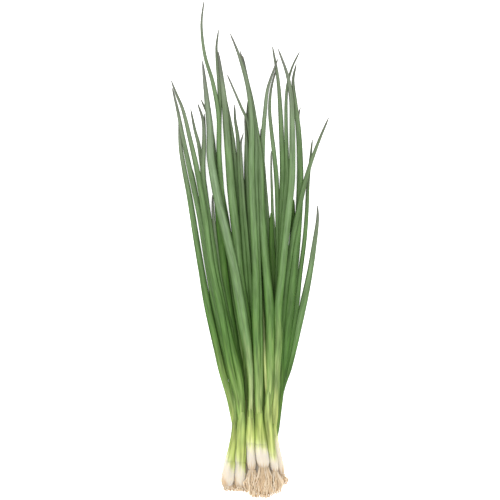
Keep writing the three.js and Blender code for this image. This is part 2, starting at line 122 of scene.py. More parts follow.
# The plants in the order in which they were laid down. A stalk's route runs from the root plate to the
# sheath's top, a leaf's from the sheath to its tip, both as [x, y]. roots is the end of the root bundle,
# white the length of the white part, top the y of the sheath's top, neck the NECK_WIDTH_SHARE of a leaf.
# slant is how much further down the green comes on a stalk's right side. tone runs from -1, deep green, to
# 1, pale green: partly the leaves' own colour, partly painted shade on the low, half-hidden leaves and
#                painted
# light on the top ones. pale is how far above the sheath's top a leaf is still yellow-green, or less than 0
# where it turns green below it. A young leaf lies almost hidden under the others and has no dry tip.
PLANTS = [
    {
        "bulb": 8, "sheath": 6, "white": 24, "top": -158, "roots": [23, -217],
        "stalk": [[25, -203], [22.4, -180], [21, -160]],
        "leaves": [
            {"width": 6.4, "tone": 0.1, "pale": -15, "route": [[24.5, -143], [29.3, -122], [34.5, -107],
             [43, -72], [49.2, -44.5], [54.4, -18.6], [58, 4.4], [61, 27], [61, 40]]},
            {"width": 4.5, "tone": -0.6, "pale": -15, "route": [[25.5, -140], [33.6, -100], [40.8, -59],
             [45, -24], [49.2, 8], [51.3, 35], [52.5, 60], [54.9, 86], [56.4, 99.5]]},
            {"width": 5.5, "tone": -0.7, "young": True, "route": [[26.5, -120], [31.5, -75], [35.5, -30],
             [38.3, 10], [39.4, 45]]},
            {"width": 4, "tone": -0.4, "pale": -15, "route": [[28, -122], [37, -60], [42, -15], [46.6, 50],
             [46.2, 76], [44, 120], [45.6, 128.6]]},
            {"width": 7, "tone": -0.5, "pale": -15, "route": [[28, -120], [34.5, -65], [40, -10],
             [43.5, 25], [45, 55], [45.1, 80], [43.9, 105], [41.2, 130], [39, 153], [41.9, 168]]},
            {"width": 5.5, "tone": -0.5, "route": [[27, -118], [27.5, -90], [31.1, -41], [38.3, 10],
             [44.6, 39], [51.9, 69], [60.9, 95], [71, 119]]},
        ],
    },
    {
        "bulb": 8, "sheath": 6, "white": 24, "top": -128, "roots": [-2, -220],
        "stalk": [[-4.5, -206], [-4, -175], [-4, -125]],
        "leaves": [
            {"width": 5.5, "tone": -0.3, "route": [[-3, -122], [-15, -50], [-29, 40], [-33, 95],
             [-36.9, 118], [-44.5, 136]]},
            {"width": 5.5, "tone": -0.2, "route": [[-3, -122], [-8, -70], [-14, -20], [-21, 25],
             [-25.6, 52], [-27.8, 80], [-27.9, 110], [-27.4, 139], [-30.3, 181], [-28.4, 198.7]]},
            {"width": 5, "tone": -0.1, "route": [[-4.6, -122], [-9, -84], [-16, -46], [-22.8, 9],
             [-25.6, 53], [-28, 90], [-28.3, 120], [-33.7, 151], [-40.7, 175], [-43.8, 202],
             [-41.8, 224]]},
            {"width": 6.5, "tone": -0.7, "route": [[-4, -120], [-3.5, -60], [-3, 0], [-2.6, 45], [-3, 90],
             [-2, 134]]},
        ],
    },
    {
        "bulb": 8, "sheath": 6, "white": 24, "top": -138, "roots": [15.5, -224],
        "stalk": [[15.5, -205], [14, -175], [13.2, -150], [14.5, -135]],
        "leaves": [
            {"width": 6, "tone": -0.5, "route": [[13.2, -118], [15, -81], [16.5, -36], [16.8, 5],
             [15, 35], [13.6, 58], [12.6, 82]]},
            {"width": 3.5, "tone": -0.3, "route": [[18, -120], [24, -60], [24, -13], [20.4, 33],
             [19.8, 52], [19.2, 70], [19, 89]]},
            {"width": 5, "tone": -0.6, "young": True, "route": [[16, -120], [19.5, -70], [20.6, -20],
             [19.4, 10], [19, 33]]},
            {"width": 5, "tone": -0.2, "route": [[17, -120], [22, -80], [24, -40], [25.4, 0], [24.7, 45],
             [23.6, 67], [21.4, 89.5], [19.3, 107.5], [17.8, 125.5], [18.9, 143.5], [23.5, 163]]},
            {"width": 6, "tone": -0.3, "route": [[19, -120], [25, -80], [27, -30], [28, 10], [29.4, 69],
             [28, 112], [25.4, 152], [20.3, 183.5]]},
        ],
    },
    {
        "bulb": 8, "sheath": 6, "white": 24, "top": -130, "roots": [5.5, -224],
        "stalk": [[5.5, -207], [5, -170], [5, -125]],
        "leaves": [
            {"width": 5.5, "tone": -0.2, "route": [[7.5, -120], [11, -80], [12.5, -36], [10.4, 44.5],
             [9.9, 109]]},
            {"width": 5, "tone": -0.5, "route": [[3, -118], [-2.7, -81.5], [-5, -36.5], [-10.4, 44.5],
             [-15.2, 98.5], [-21.6, 137]]},
            {"width": 6, "tone": -0.5, "route": [[3, -122], [-1, -60], [-5, -5], [-8.2, 55], [-11.2, 102],
             [-13.5, 118], [-13.9, 131]]},
            {"width": 5, "tone": -0.4, "route": [[6, -122], [3, -60], [0.5, 10], [-2, 60], [-3, 93],
             [-4.8, 120]]},
            {"width": 4, "tone": -0.4, "route": [[7, -122], [-1, -10], [-5, 35], [-7.8, 80], [-8.2, 96],
             [-5.9, 105]]},
        ],
    },
    {
        "bulb": 8, "sheath": 6, "white": 24, "top": -140, "roots": [-14, -218],
        "stalk": [[-14.5, -208], [-12.5, -175], [-10.5, -148]],
        "leaves": [
            {"width": 4.5, "tone": -0.2, "route": [[-15, -125], [-23.3, -100], [-27.6, -81.5],
             [-35, -36.5], [-42, 8.5], [-48.7, 53.5], [-52, 72]]},
            {"width": 4, "tone": -0.4, "route": [[-11, -120], [-18.5, -81.5], [-29, -36.5], [-37.6, 13],
             [-45, 58]]},
            {"width": 4, "tone": -0.5, "route": [[-9.5, -120], [-22, -50], [-31.5, 0], [-40.6, 58],
             [-41.8, 90], [-40.9, 105], [-41.3, 122.6]]},
            {"width": 5.5, "tone": -0.3, "route": [[-11, -120], [-24, -55], [-34.5, 5], [-40.6, 55],
             [-46.2, 94], [-50, 109], [-53.6, 127]]},
            {"width": 6, "tone": -0.8, "young": True, "route": [[-9, -120], [-15.5, -78], [-21.5, -38],
             [-25.5, 3], [-29.5, 42], [-31, 66]]},
        ],
    },
    {
        "bulb": 11, "sheath": 7, "white": 22, "top": -146, "roots": [-21.5, -217.4], "slant": 8,
        "stalk": [[-20.7, -212], [-17.6, -190], [-13.6, -168], [-13.3, -150]],
        "leaves": [
            {"width": 6.2, "tone": 0, "pale": 15, "route": [[-17.6, -136], [-25.2, -109], [-29.2, -91],
             [-37.7, -53], [-43.4, -21], [-48.2, 7.6], [-54.7, 48], [-59.2, 71], [-62.9, 94], [-64, 124]]},
            {"width": 6, "tone": 0.1, "route": [[-14.5, -128], [-20, -100], [-29.3, -59], [-36.9, -21],
             [-45.4, 31], [-54.2, 71.5], [-60, 98.5], [-65.3, 125.5], [-70.3, 146]]},
        ],
    },
    {
        "bulb": 9.3, "sheath": 9, "white": 21, "top": -146, "roots": [-9.5, -217.4], "slant": 7,
        "stalk": [[-9.3, -212], [-8, -180], [-7.4, -150]],
        "leaves": [
            {"width": 5, "tone": 0.1, "route": [[-8, -120], [-15.5, -84], [-23.5, -46], [-27.8, -21],
             [-33, 30], [-33.9, 49]]},
            {"width": 6.5, "tone": -0.2, "route": [[-9, -120], [-18.9, -78], [-27.9, -36], [-35.2, 12.5],
             [-39.4, 42], [-42.1, 62], [-42.5, 76], [-41.6, 92], [-41.6, 108], [-43, 119], [-47.3, 132]]},
            {"width": 6, "tone": -0.1, "route": [[-10.5, -136], [-15.5, -115], [-19.5, -95], [-25.5, -59],
             [-34.5, -14], [-40.6, 31], [-47.7, 71.5], [-53.8, 98.5], [-60.4, 125.5], [-67.7, 143.5],
             [-71.1, 152.6]]},
        ],
    },
    {
        "bulb": 7.5, "sheath": 5.5, "white": 34, "top": -148, "roots": [26.5, -214],
        "stalk": [[27.8, -201], [25, -188], [21.8, -167], [22, -150]],
        "leaves": [
            {"width": 4.5, "tone": -0.3, "route": [[23, -120], [25, -60], [27, -15], [31, 42], [33.4, 69],
             [32.5, 112], [33.2, 144], [37.5, 163], [44.9, 179]]},
            {"width": 6.8, "tone": 0.4, "pale": 30, "route": [[23.2, -120], [25.4, -78], [25.1, -53],
             [28.9, -18.6], [34.7, 36], [37.3, 60], [38, 80], [37.9, 117], [37.1, 137], [33.8, 157],
             [25.4, 181.4]]},
        ],
    },
    {
        "bulb": 7, "sheath": 6.6, "white": 15, "top": -126, "roots": [23, -220],
        "stalk": [[22.2, -198.5], [18.4, -172], [16.4, -150], [17, -128]],
        "leaves": [
            {"width": 5.5, "tone": 0.3, "route": [[18.5, -118], [18.5, -80], [16.5, -30], [11.8, 40],
             [11, 70], [11.6, 98], [13.6, 125.5], [16.2, 146], [25.1, 172]]},
            {"width": 3.5, "tone": 0.5, "pale": 45, "route": [[14.5, -118], [13.1, -91], [10.6, -53],
             [6.8, -8], [5, 20]]},
            {"width": 7.5, "tone": 0.15, "route": [[18.2, -118], [18.2, -95], [17.6, -53], [14.3, -15],
             [10, 36], [9.2, 80], [5.2, 107.5], [1.2, 134.5], [-2.6, 152.5], [-6.5, 175]]},
        ],
    },
    {
        "bulb": 8, "sheath": 7, "white": 23, "top": -138, "roots": [3, -222],
        "stalk": [[1.8, -197], [0.8, -175], [0.5, -150]],
        "leaves": [
            {"width": 8.8, "neck": 0.5, "tone": 0.1, "route": [[0.7, -118], [-3.2, -70], [-9.8, -21],
             [-12.3, 13], [-15, 37], [-17.3, 60], [-19.2, 86], [-21, 108], [-23.3, 136], [-28.6, 178.6]]},
            {"width": 8.8, "neck": 0.46, "tone": 1, "route": [[1, -120], [-1, -97], [-6.9, -60],
             [-13.5, -21], [-19.8, 7.6], [-28.6, 44.5], [-32.3, 63.5], [-35.6, 86], [-36, 108],
             [-38.4, 130], [-43, 170.6]]},
        ],
    },
    {
        "bulb": 10.8, "sheath": 7.8, "white": 20, "top": -136, "roots": [13, -224],
        "stalk": [[12.2, -194.5], [10, -175], [8.4, -150]],
        "leaves": [
            {"width": 4, "tone": 0.2, "route": [[8, -120], [6, 0], [4, 40], [-1.3, 112], [-8.2, 129],
             [-20.6, 158]]},
            {"width": 5, "tone": 0.3, "route": [[9.5, -120], [9, -80], [8, -30], [5, 60], [5, 95],
             [0, 140], [-8.8, 179]]},
            {"width": 6.5, "tone": 0.25, "route": [[7, -120], [6.5, -95], [5.5, -65], [5.1, -21],
             [1.4, 66], [1.4, 112], [-1.3, 142.7], [-10, 174.8], [-18, 195]]},
        ],
    },
]

# Places in the colour run from root plate to leaf tip
BASE, WHITE_END, NECK, SHEATH_TOP, BLADE, UPPER, NEAR_TIP, TIP = 0, 0.2, 0.34, 0.46, 0.58, 0.74, 0.88, 1

# Where on a stalk or leaf those places lie
EDGE_BELOW, EDGE_ABOVE = 5, 6  # the white part goes over into the neck around its upper end
SHORTEST_NECK = 12
SHEATH_TO_BLADE = 60
SHORTEST_BLADE, SHORTEST_UPPER = 10, 5
UPPER_SHARE, NEAR_TIP_SHARE = 0.3, 0.1  # of the free length of a leaf, before its tip
WHITE_END_SLANT = 2  # the most by which a stalk's colours slant where the table gives no slant
STALK_TONE = 0.3  # the most by which a stalk's tone differs from the plain colours
FLANK_SHADE_POWER = 3  # how closely the painted shade keeps to the sides of a strand
GRAIN_LENGTH = 45  # stretch of the grain along a strand
GRAIN_OFFSET = 10  # the most by which the grain of one strand is moved against another's


def smooth(t):
    t = np.clip(t, 0, 1)
    return t * t * (3 - 2 * t)


def curve_at(points, y):
    """The value at y of the smooth curve through [value, y] points."""
    value, at = np.array(points, float).T
    before = np.maximum(np.arange(len(at)) - 1, 0)
    after = np.minimum(np.arange(len(at)) + 1, len(at) - 1)
    slope = (value[after] - value[before]) / (at[after] - at[before])
    i = np.clip(np.searchsorted(at, y, side="left") - 1, 0, len(at) - 2)
    h = at[i + 1] - at[i]
    t = np.clip((y - at[i]) / h, 0, 1)
    rise = (3 - 2 * t) * t * t
    bend = t * (1 - t) * h * ((1 - t) * slope[i] - t * slope[i + 1])
    return (1 - rise) * value[i] + rise * value[i + 1] + bend


def height_over(y, mine, other, share):
    """The height at which a strand just clears the top of another, or 0 where it passes beside it."""
    x, a, b = (np.interp(y, mine["y"], mine[key]) for key in "xab")
    other_x, other_a, other_b, other_z = (np.interp(y, other["y"], other[key]) for key in "xabz")
    side = np.minimum(np.abs(x - other_x) / (a + other_a + GAP), 1)
    over = other_z + share * (b + other_b + GAP) * np.sqrt(1 - side ** 2)
    return np.where(side < 1, over, 0)


def lay(strand, below, sisters, top, floor, flat_share):
    """Lays a strand over the ones below it. sisters are strands of the same plant, which it clears where
    they have parted above the sheath's top. flat_share is how far its section reaches down."""
    y = strand["y"]
    fine = np.unique(np.concatenate([y, np.arange(y[0], y[-1], FINE_STEP)]))
    need = floor(fine)
    for other in below:
        within = (fine >= other["y"][0] - GAP) & (fine <= other["y"][-1] + GAP)
        need = np.maximum(need, np.where(within, height_over(fine, strand, other, 1), 0))
    parted = smooth((fine - top) / LEAF_PARTING)
    for other in sisters:
        over = height_over(fine, strand, other, parted) * np.minimum(1, EARLY_PARTING * parted)
        need = np.maximum(need, np.where(fine <= other["y"][-1] + GAP, over, 0))
    last = len(y) - 1
    highest = np.array([
        max(strand["b"][i] * flat_share,
            need[(fine >= y[max(i - 1, 0)]) & (fine <= y[min(i + 1, last)])].max())
        for i in range(last + 1)])
    heights = (highest - STEEPEST * np.abs(y[:, None] - y)).max(axis=1)
    for _ in range(BRIDGING_ROUNDS):
        for i in range(1, last):
            heights[i] = max(heights[i], (heights[i - 1] + heights[i + 1]) / 2 - SAG)
    strand["z"] = heights


def base_of(plant):
    return plant["stalk"][0][1]


def white_end_of(plant):
    return base_of(plant) + plant["white"]


def leaf_root_of(plant):
    return max(plant["top"] - LEAF_IN_SHEATH, white_end_of(plant) + 2 * SEAM)


def stalk_halves(plant, y):
    """Half width and half height of a stalk and its root bundle."""
    d = y - base_of(plant)
    bulb, sheath = plant["bulb"] / 2, plant["sheath"] / 2
    root_length = base_of(plant) - plant["roots"][1]
    outline = [[ROOT_SPREAD, -root_length], [ROOT_BELLY, -root_length / 2],
               [ROOT_PLATE_SHARE * bulb, -ROOT_PLATE],
               *[[share * bulb, height] for share, height in BULB_OUTLINE],
               [min(bulb, SHEATH_SWELLING * sheath), SWELLING_END], [sheath, SHEATH_START]]
    half, at = np.array(outline).T
    a = np.interp(d, at, half)
    flattened = np.clip(-d / root_length, 0, 1)
    return a, a * STALK_FLATNESS * (1 - flattened) + ROOT_BUNDLE_HALF_HEIGHT * flattened


def stalk_route(plant, y):
    return curve_at([plant["roots"], *plant["stalk"]], y)


def stalk_strand(plant):
    base_y, top = base_of(plant), plant["top"]
    root_length = base_y - plant["roots"][1]
    distances = [-root_length, -root_length / 2, -ROOT_PLATE, *[height for _, height in BULB_OUTLINE],
                 SWELLING_END, plant["white"], plant["white"] + SEAM]
    ys = [base_y + d for d in distances]
    ys += [top - LEAF_LEAVES_MIDDLE, top - SHEATH_CLOSING, top]
    if base_y + SHEATH_START < top - LEAF_LEAVES_MIDDLE:
        ys.append(base_y + SHEATH_START)
    y = np.array(sorted(ys), float)
    a, b = stalk_halves(plant, y)
    closing = 1 - (1 - CLOSED_SHARE) * smooth((y - top) / SHEATH_CLOSING + 1)
    return {"y": y, "x": stalk_route(plant, y), "a": a * closing, "b": b * closing}


def leaf_route(plant, leaf):
    in_sheath = [[float(curve_at(plant["stalk"], y)), y]
                 for y in (leaf_root_of(plant), plant["top"] - LEAF_LEAVES_MIDDLE)]
    return in_sheath + leaf["route"]


def leaf_halves(plant, leaf, route, y):
    """Half width and half height of a leaf's upright section across the bunch."""
    lean = (curve_at(route, y + 1) - curve_at(route, y - 1)) / 2
    root_y, top, tip_y = route[0][1], plant["top"], route[-1][1]
    neck = leaf.get("neck", NECK_WIDTH_SHARE)
    neck = neck + (1 - neck) * smooth((y - top) / NECK_WIDENING)
    rolled = ROLLED_SHARE + (1 - ROLLED_SHARE) * smooth((y - root_y) / (top - root_y))
    taper = 1 - np.exp((y - tip_y) / (TIP_TAPER * (tip_y - top)))
    half = (TIP_WIDTH + (leaf["width"] * neck * rolled - TIP_WIDTH) * taper) / 2
    return half * np.hypot(1, lean), half * LEAF_FLATNESS


def leaf_strand(plant, leaf):
    route = leaf_route(plant, leaf)
    root_y, tip_y = route[0][1], route[-1][1]
    y = np.linspace(root_y, tip_y, round((tip_y - root_y) / STATION_STEP) + 1)
    a, b = leaf_halves(plant, leaf, route, y)
    return {"y": y, "x": curve_at(route, y), "a": a, "b": b}


def lay_bunch():
    """Lays down all plants in turn, and returns each one with its stalk strand and leaf strands."""
    laid, plants = [], []
    for plant in PLANTS:
        top, root_y = plant["top"], leaf_root_of(plant)
        stalk = stalk_strand(plant)
        leaves = [leaf_strand(plant, leaf) for leaf in plant["leaves"]]

        def lay_leaves(floor):
            for i, leaf in enumerate(leaves):
                lay(leaf, laid, leaves[:i], top, floor, HEXAGON_FLAT)

        def highest_leaf(y):
            heights = np.max([np.interp(y, leaf["y"], leaf["z"]) for leaf in leaves], axis=0)
            return np.where(y < root_y, 0, heights)

        def over_stalk(y):
            return np.where(y > top, 0, np.interp(y, stalk["y"], stalk["z"]))

        lay_leaves(np.zeros_like)
        lay(stalk, laid, [], top, highest_leaf, OCTAGON_FLAT)
        lay_leaves(over_stalk)
        laid += [stalk, *leaves]
        plants.append((plant, stalk, leaves))
    return plants


def ring_angles(sides):
    return np.linspace(0, 2 * math.pi, sides, endpoint=False)


class Surface:
    """Gathers closed tubes into one mesh, with the values that its material reads at each vertex: stage,
    the place in the colour run from root to tip, tone, a tube's own shade of colour, which on the leaves also
    carries painted light and painted shade, flank, the mask of painted shade, which is 0 on the upper side
    and 1 at the sides and below, and grain, a place on the tube that is stretched along it."""

    def __init__(self):
        self.vertices, self.faces = [], []
        self.stages, self.tones, self.flanks, self.grains = [], [], [], []

    def add_points(self, points, stage, tone, grain, flank):
        """Adds vertices with their values, and returns the number of the first one."""
        first = len(self.vertices)
        self.vertices += points.tolist()
        self.stages += stage.tolist()
        self.tones += [float(tone)] * len(points)
        self.grains += grain.tolist()
        self.flanks += flank.tolist()
        return first

    def add_tube(self, tube, sides, stage, tone, offset, profile=None):
        """A closed tube through rings in upright planes: tube has y, x, z, and half width a and height b."""
        y, x, z, a, b = (np.asarray(tube[key], float) for key in "yxzab")
        angle = ring_angles(sides)
        shape = np.ones((len(y), sides)) if profile is None else profile(y, angle)
        px = x[:, None] + a[:, None] * np.cos(angle) * shape
        pz = np.maximum(z[:, None] + b[:, None] * np.sin(angle) * shape, 0)
        py = np.broadcast_to(y[:, None], px.shape)
        points = np.stack([px, py, pz], axis=-1)
        stage = np.broadcast_to(np.reshape(stage, (len(y), -1)), px.shape)
        around = np.broadcast_to(angle, px.shape)
        grain = np.stack([np.cos(around) + offset, np.sin(around) + offset, py / GRAIN_LENGTH], axis=-1)
        # the mask of painted shade: 0 on the upper side, 1 at the sides and below
        flank = np.where(np.sin(angle) < 0, 1, np.abs(np.cos(angle)) ** FLANK_SHADE_POWER)
        firsts = [self.add_points(points[i], stage[i], tone, grain[i], flank) for i in range(len(y))]
        for low, high in zip(firsts, firsts[1:]):
            for k in range(sides):
                turn = (k + 1) % sides
                self.faces.append((low + k, high + k, high + turn, low + turn))
        for end, outwards in ((0, False), (-1, True)):
            self.add_cap(points[end], stage[end], tone, grain[end], flank, outwards)

    def add_cap(self, points, stage, tone, grain, flank, outwards):
        """Closes a tube's end with a fan of triangles. Its rim has its own vertices and so stays sharp."""
        rim = self.add_points(points, stage, tone, grain, flank)
        middle = self.add_points(points.mean(axis=0)[None], stage[:1], tone,
                                 grain.mean(axis=0)[None], np.ones(1))
        for k in range(len(points)):
            edge = (rim + k, rim + (k + 1) % len(points))
            self.faces.append((middle, *(edge[::-1] if outwards else edge)))

    def build(self, name, material):
        mesh = bpy.data.meshes.new(name)
        mesh.from_pydata((np.array(self.vertices) * MM).tolist(), [], self.faces)
        for key, values in (("stage", self.stages), ("tone", self.tones), ("flank", self.flanks)):
            mesh.attributes.new(key, "FLOAT", "POINT").data.foreach_set("value", values)
        grain = mesh.attributes.new("grain", "FLOAT_VECTOR", "POINT")
        grain.data.foreach_set("vector", np.array(self.grains).reshape(-1))
        mesh.polygons.foreach_set("use_smooth", [True] * len(mesh.polygons))
        mesh.materials.append(material)
        mesh.update()
        piece = bpy.data.objects.new(name, mesh)
        bpy.context.scene.collection.objects.link(piece)
        return piece


def pressed(y):
    """How much wider the strands are where they press against each other, low in the bunch."""
    return 1 + PRESSED_WIDENING * (1 - smooth((y - PRESSED_UP_TO) / PRESSED_FADING))


def stalk_stage(plant, y):
    """The place in the colour run along a root plate, bulb and sheath."""
    white_y = white_end_of(plant)
    return np.interp(y, [base_of(plant), white_y - EDGE_BELOW, white_y + EDGE_ABOVE,
                         max(plant["top"], white_y + SHORTEST_NECK)],
                     [BASE, WHITE_END, NECK, SHEATH_TOP])


def leaf_stage(plant, leaf, route, y):
    """A young leaf stays green up to its tip, a full-grown one goes through the whole colour run."""
    root_y, tip_y = route[0][1], route[-1][1]
    pale_end = plant["top"] + leaf.get("pale", 0)
    blade_y = pale_end + SHEATH_TO_BLADE
    free_length = tip_y - plant["top"]
    upper_y = max(tip_y - UPPER_SHARE * free_length, blade_y + SHORTEST_BLADE)
    near_y = max(tip_y - NEAR_TIP_SHARE * free_length, upper_y + SHORTEST_UPPER)
    root = NECK if "pale" in leaf else float(stalk_stage(plant, root_y))
    blade = [BLADE] * 4 if leaf.get("young") else [BLADE, UPPER, NEAR_TIP, TIP]
    return np.interp(y, [root_y, pale_end, blade_y, upper_y, near_y, tip_y], [root, SHEATH_TOP, *blade])


def add_stalk_tube(surface, plant, stalk, from_y, to_y):
    """A smooth stretch of bulb or sheath."""
    y = np.linspace(from_y, to_y, max(round((to_y - from_y) / STALK_STEP), 2))
    plate_y = base_of(plant) - ROOT_PLATE
    a = curve_at([[a, at] for a, at in zip(stalk["a"], stalk["y"]) if at > plate_y - SEAM], y)
    tube = {"y": y, "x": stalk_route(plant, y), "z": curve_at(list(zip(stalk["z"], stalk["y"])), y),
            "a": a * pressed(y), "b": a * STALK_FLATNESS}
    slanted = y[:, None] + plant["slant"] * np.cos(ring_angles(STALK_MESH_SIDES))
    surface.add_tube(tube, STALK_MESH_SIDES, stalk_stage(plant, slanted), plant["tone"], plant["offset"])


def bulb_surface(plant, stalk):
    surface = Surface()
    add_stalk_tube(surface, plant, stalk, base_of(plant) - SEAM, white_end_of(plant) + SEAM / 2)
    return surface


def creased(random):
    """The profile of a leaf's tube, with a shallow fold that wanders along its upper side."""
    depth = random.uniform(*CREASE_DEPTHS)
    place = math.pi / 2 + random.uniform(-CREASE_OFF_MIDDLE, CREASE_OFF_MIDDLE)
    wander, phase = random.uniform(*CREASE_WANDERS), random.uniform(0, 2 * math.pi)

    def profile(y, angle):
        middle = place + wander * np.sin(y / CREASE_WAVE + phase)
        off = np.angle(np.exp(1j * (angle[None, :] - middle[:, None])))
        return 1 - depth * np.exp(-(off / CREASE_ANGLE) ** 2)

    return profile


def leaf_tube(plant, leaf, laid, route):
    """A leaf's tube along its route, at the heights at which it was laid down."""
    root_y, tip_y = route[0][1], route[-1][1]
    y = np.linspace(root_y, tip_y, round((tip_y - root_y) / LEAF_STEP))
    a, b = leaf_halves(plant, leaf, route, y)
    point = np.clip((tip_y - y) / POINT_LENGTH, POINT_SHARE, 1)
    point = point * (1 + TIP_FULLNESS * np.exp((y - tip_y) / TIP_FULL_LENGTH))
    fullness = pressed(y) * (YOUNG_FULLNESS if leaf.get("young") else 1)
    return {"y": y, "x": curve_at(route, y), "z": curve_at(list(zip(laid["z"], laid["y"])), y),
            "a": a * point * fullness, "b": b * point}


def shoot_surface(plant, stalk, leaves, random):
    """The sheath and all leaves that come out of it."""
    surface = Surface()
    add_stalk_tube(surface, plant, stalk, white_end_of(plant) + SEAM / 2, plant["top"])
    for leaf, laid in zip(plant["leaves"], leaves):
        route = leaf_route(plant, leaf)
        tube = leaf_tube(plant, leaf, laid, route)
        surface.add_tube(tube, LEAF_MESH_SIDES, leaf_stage(plant, leaf, route, tube["y"]), leaf["tone"],
                         GRAIN_OFFSET * random.random(), creased(random))
    return surface


def root_tube(plant, stalk, random):
    """One thin root, which winds its way from the root plate to its own end within the bundle."""
    base_y, far_y = base_of(plant), plant["roots"][1]
    angle, out = 2 * math.pi * random.random(), math.sqrt(random.random())
    end_y = far_y + (base_y - far_y) * (MIDDLE_ENDS + OUTER_ENDS * out) * random.random()
    y = np.linspace(end_y, base_y - ROOT_PLATE / 3, ROOT_MESH_STEPS)
    run = (base_y - y) / (base_y - far_y)
    x, a, b, z = (np.interp(y, stalk["y"], stalk[key]) for key in "xabz")
    radius = random.uniform(*ROOT_RADII) * (1 - ROOT_THINNING * run)
    wave = random.uniform(*ROOT_WAVES) * smooth(run * 2)
    kink = ROOT_KINK * smooth(run * 3)
    phase, pace = random.uniform(0, 2 * math.pi), random.uniform(*ROOT_PACES)
    belly = 1 + BUNDLE_FULLNESS * np.sin(math.pi * run ** BELLY_PLACE_POWER)
    spread = belly * min(1, (base_y - far_y) / FULL_BUNDLE_LENGTH)
    px = x + a * spread * out * math.cos(angle) + wave * np.sin(pace * y + phase)
    px += kink * np.sin(4 * pace * y + 2 * phase)
    pz = z + b * out * math.sin(angle)
    pz += UPRIGHT_WAVE_SHARE * wave * np.cos(UPRIGHT_PACE_SHARE * pace * y + 2 * phase)
    return {"y": y, "x": px, "z": np.maximum(pz, radius), "a": radius, "b": radius}, run


def roots_surface(plant, stalk, random):
    """The root plate with its many thin roots."""
    surface = Surface()
    y = np.linspace(base_of(plant) - ROOT_PLATE, base_of(plant), len(PLATE_ROUNDING))
    a = np.interp(y, stalk["y"], stalk["a"]) * PLATE_ROUNDING
    plate = {"y": y, "x": stalk_route(plant, y), "z": np.interp(y, stalk["y"], stalk["z"]),
             "a": a, "b": a * STALK_FLATNESS}
    surface.add_tube(plate, STALK_MESH_SIDES, np.zeros(len(y)), 0, 0)
    for _ in range(ROOTS_PER_PLANT):
        tube, run = root_tube(plant, stalk, random)
        surface.add_tube(tube, ROOT_MESH_SIDES, run, random.uniform(-1, 1), GRAIN_OFFSET * random.random())
    return surface


def linear(red, green, blue):
    """A display colour of 0 to 255 as the linear light that shaders take."""
    return [((c / 255 + 0.055) / 1.055) ** 2.4 if c > 10 else c / 255 / 12.92 for c in (red, green, blue)]


class Shader:
    """A new node material with short calls to add and join nodes."""

    def __init__(self, name):
        self.material = bpy.data.materials.new(name)
        self.material.use_nodes = True
        self.tree = self.material.node_tree
        self.surface = self.tree.nodes["Principled BSDF"]

    def node(self, kind, **settings):
        made = self.tree.nodes.new(kind)
        for key, value in settings.items():
            setattr(made, key, value)
        return made

    def join(self, source, target):
        self.tree.links.new(source, target)

    def attribute(self, name, output):
        return self.node("ShaderNodeAttribute", attribute_name=name).outputs[output]

    def noise(self, vector, scale, detail=3.0, roughness=0.5):
        made = self.node("ShaderNodeTexNoise")
        made.inputs["Scale"].default_value = scale
        made.inputs["Detail"].default_value = detail
        made.inputs["Roughness"].default_value = roughness
        self.join(vector, made.inputs["Vector"])
        return made.outputs["Fac"]

    def math(self, operation, first, second):
        """A calculation with two values, each of them a socket or a number."""
        made = self.node("ShaderNodeMath", operation=operation)
        for socket, value in zip(made.inputs, (first, second)):
            if isinstance(value, bpy.types.NodeSocket):
                self.join(value, socket)
            else:
                socket.default_value = value
        return made.outputs[0]

    def ramp(self, value, stops):
        """A colour run of (place, display colour) stops."""
        made = self.node("ShaderNodeValToRGB")
        elements = made.color_ramp.elements
        while len(elements) < len(stops):
            elements.new(1.0)
        for element, (place, colour) in zip(elements, stops):
            element.position = place
            element.color = (*linear(*colour), 1)
        self.join(value, made.inputs["Fac"])
        return made.outputs["Color"]

    def map_range(self, value, low, high, to_low, to_high):
        made = self.node("ShaderNodeMapRange")
        for key, number in (("From Min", low), ("From Max", high), ("To Min", to_low), ("To Max", to_high)):
            made.inputs[key].default_value = number
        self.join(value, made.inputs["Value"])
        return made.outputs["Result"]

    def mix(self, factor, first, second, blend="MIX"):
        """Mixes two colours. Each of the three may be a socket or a constant."""
        made = self.node("ShaderNodeMix", data_type="RGBA", blend_type=blend)
        for socket, value in ((made.inputs[0], factor), (made.inputs[6], first), (made.inputs[7], second)):
            if isinstance(value, bpy.types.NodeSocket):
                self.join(value, socket)
            else:
                socket.default_value = value if isinstance(value, (int, float)) else (*value, 1)
        return made.outputs[2]

    def scaled(self, colour, share):
        made = self.node("ShaderNodeVectorMath", operation="SCALE")
        self.join(colour, made.inputs[0])
        self.join(share, made.inputs["Scale"])
        return made.outputs[0]

    def bump(self, height, strength, distance):
        made = self.node("ShaderNodeBump")
        made.inputs["Strength"].default_value = strength
        made.inputs["Distance"].default_value = distance
        self.join(height, made.inputs["Height"])
        self.join(made.outputs["Normal"], self.surface.inputs["Normal"])


# Colours along a plant, from the root plate to the leaf tips
PLANT_COLOURS = [
    (BASE, (184, 162, 136)), (0.04, (197, 187, 172)), (0.14, (198, 191, 178)), (WHITE_END, (196, 192, 164)),
    (0.24, (180, 185, 132)), (0.3, (166, 175, 110)), (0.36, (153, 165, 92)), (SHEATH_TOP, (118, 141, 79)),
    (BLADE, (79, 111, 55)), (UPPER, (98, 122, 82)), (NEAR_TIP, (109, 121, 98)), (TIP, (98, 98, 94)),
]
# Tints by tone: partly the leaves' own colour, partly painted shade (deep tint) and painted light (pale tint)
DEEP_AND_SHADED_TINT = (0.62, 0.74, 0.52)
PALE_AND_LIT_TINT = (1.55, 1.3, 1.95)
